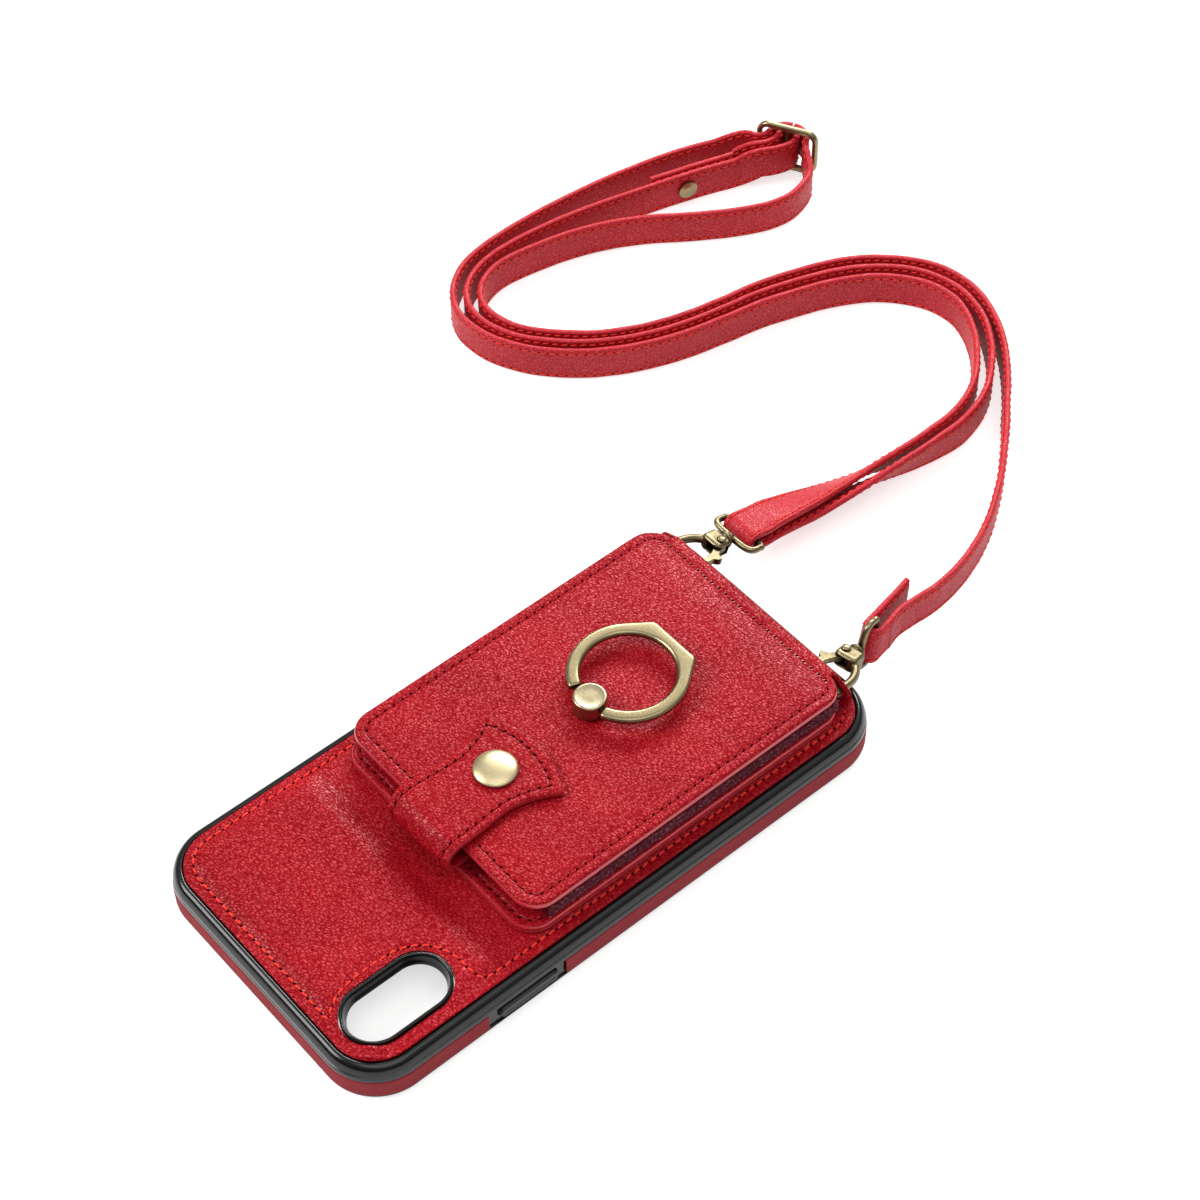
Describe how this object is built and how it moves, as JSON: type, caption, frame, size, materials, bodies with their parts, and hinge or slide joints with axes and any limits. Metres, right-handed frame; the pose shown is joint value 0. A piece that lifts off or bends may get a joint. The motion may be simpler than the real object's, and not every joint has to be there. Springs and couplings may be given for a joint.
{
  "type": "phone wallet case",
  "caption": "Phone bumper case with a leather back, a snap-closed fan card wallet, a folding finger ring and a long wrist strap on two swivel clasps.",
  "frame": {"origin": "middle of the case's footprint on the surface its open front lies on, without the strap and clasps", "axes": "+Z out of the back of the case, +Y towards the wallet's spine and the charging port, +X the power-button side"},
  "size_m": [0.1912, 0.2824, 0.027],
  "materials": {
    "red_leather": "pebbled, semi-gloss",
    "dark_leather": "smooth, satin",
    "band_cloth": "matte wine cloth",
    "black_bumper": "soft plastic, semi-gloss",
    "board": "stiff card",
    "foam": "thin padding",
    "brass": "satin pale brass",
    "antique_brass": "antique brass, cast"
  },
  "bodies": {
    "case": {"back_board": "board", "back_panel": "red_leather", "bumper_frame": "black_bumper", "camera_end_foam": "foam", "camera_window_rim": "black_bumper", "clasp_body_left": "antique_brass", "clasp_body_right": "antique_brass", "clasp_rivet_left": "antique_brass", "clasp_rivet_right": "antique_brass", "gusset_power_side": "dark_leather", "gusset_volume_side": "dark_leather", "side_band_camera_end": "band_cloth", "side_band_power_side": "band_cloth", "side_band_volume_side": "band_cloth", "strap_fold_left": "red_leather", "strap_fold_right": "red_leather", "strap_rivet_back": "brass", "strap_rivet_cap": "brass", "strap_run_a": "red_leather", "strap_run_b": "red_leather", "strap_run_c": "red_leather", "strap_slider": "brass", "strap_tail": "red_leather", "wallet_base": "red_leather", "wallet_spine": "red_leather"},
    "cover": {"wallet_cover": "red_leather", "cover_board": "board", "cover_lining": "dark_leather", "snap_stud": "brass", "ring_post_rivet": "brass"},
    "tab": {"closure_tab": "red_leather", "snap_cap": "brass", "snap_socket": "brass"},
    "ring_post": {"ring_post": "brass"},
    "ring": {"finger_ring": "brass", "ring_hinge_pin": "brass"},
    "power_button": {"power_button": "black_bumper"},
    "volume_up_button": {"volume_up_button": "black_bumper"},
    "volume_down_button": {"volume_down_button": "black_bumper"},
    "gate_left": {"clasp_gate_left": "antique_brass"},
    "gate_right": {"clasp_gate_right": "antique_brass"},
    "bail_left": {"clasp_bail_left": "antique_brass"},
    "bail_right": {"clasp_bail_right": "antique_brass"},
    "card_leaf_1": {"card_leaf_1": "dark_leather"},
    "card_leaf_2": {"card_leaf_2": "dark_leather"},
    "card_leaf_3": {"card_leaf_3": "dark_leather"},
    "card_leaf_4": {"card_leaf_4": "dark_leather"}
  },
  "joints": [
    {"name": "power_button_press", "type": "slide", "parent": "case", "child": "power_button", "axis": [-1, 0, 0], "range_m": [0, 0.0004], "stiffness_N_per_m": 800},
    {"name": "volume_up_press", "type": "slide", "parent": "case", "child": "volume_up_button", "axis": [1, 0, 0], "range_m": [0, 0.0004], "stiffness_N_per_m": 800},
    {"name": "volume_down_press", "type": "slide", "parent": "case", "child": "volume_down_button", "axis": [1, 0, 0], "range_m": [0, 0.0004], "stiffness_N_per_m": 800},
    {"name": "wallet_open", "type": "hinge", "parent": "case", "child": "cover", "pos_m": [0, 0.0706, 0.017], "axis": [-1, 0, 0], "range_deg": [0, 20], "deforming": ["wallet_spine", "gusset_power_side", "gusset_volume_side"]},
    {"name": "leaf_1_fan", "type": "hinge", "parent": "case", "child": "card_leaf_1", "pos_m": [0, 0.0706, 0.017], "axis": [-1, 0, 0], "range_deg": [0, 4]},
    {"name": "leaf_2_fan", "type": "hinge", "parent": "case", "child": "card_leaf_2", "pos_m": [0, 0.0706, 0.017], "axis": [-1, 0, 0], "range_deg": [0, 8]},
    {"name": "leaf_3_fan", "type": "hinge", "parent": "case", "child": "card_leaf_3", "pos_m": [0, 0.0706, 0.017], "axis": [-1, 0, 0], "range_deg": [0, 12]},
    {"name": "leaf_4_fan", "type": "hinge", "parent": "case", "child": "card_leaf_4", "pos_m": [0, 0.0706, 0.017], "axis": [-1, 0, 0], "range_deg": [0, 16]},
    {"name": "tab_open", "type": "hinge", "parent": "case", "child": "tab", "pos_m": [0, -0.0303, 0.019], "axis": [1, 0, 0], "range_deg": [0, 150], "deforming": ["closure_tab"]},
    {"name": "ring_swivel", "type": "hinge", "parent": "cover", "child": "ring_post", "pos_m": [-0.0005, 0.0202, 0.022], "axis": [0, 0, 1], "range_deg": [-135, 135]},
    {"name": "ring_fold", "type": "hinge", "parent": "ring_post", "child": "ring", "pos_m": [-0.0005, 0.0202, 0.0257], "axis": [1, 0, 0], "range_deg": [0, 120]},
    {"name": "gate_right_press", "type": "hinge", "parent": "case", "child": "gate_right", "pos_m": [0.02151, 0.08088, 0.01268], "axis": [-0.0573, 0.2696, 0.9613], "range_deg": [0, 20], "stiffness_Nm_per_rad": 0.01},
    {"name": "gate_left_press", "type": "hinge", "parent": "case", "child": "gate_left", "pos_m": [-0.0236, 0.08139, 0.01268], "axis": [0, -0.2756, -0.9613], "range_deg": [0, 20], "stiffness_Nm_per_rad": 0.01},
    {"name": "bail_right_swivel", "type": "hinge", "parent": "case", "child": "bail_right", "pos_m": [0.025, 0.0712, 0.0156], "axis": [-0.1999, 0.9403, -0.2756], "range_deg": [-10, 10], "deforming": ["strap_fold_right"]},
    {"name": "bail_left_swivel", "type": "hinge", "parent": "case", "child": "bail_left", "pos_m": [-0.025, 0.0712, 0.0156], "axis": [0, 0.9613, -0.2756], "range_deg": [-10, 10], "deforming": ["strap_fold_left"]}
  ],
  "couplings": [
    {"joint": "leaf_1_fan", "follows": "wallet_open", "ratio": 0.2},
    {"joint": "leaf_2_fan", "follows": "wallet_open", "ratio": 0.4},
    {"joint": "leaf_3_fan", "follows": "wallet_open", "ratio": 0.6},
    {"joint": "leaf_4_fan", "follows": "wallet_open", "ratio": 0.8},
    {"joint": "tab_open", "follows": "wallet_open", "ratio": 7.5}
  ]
}
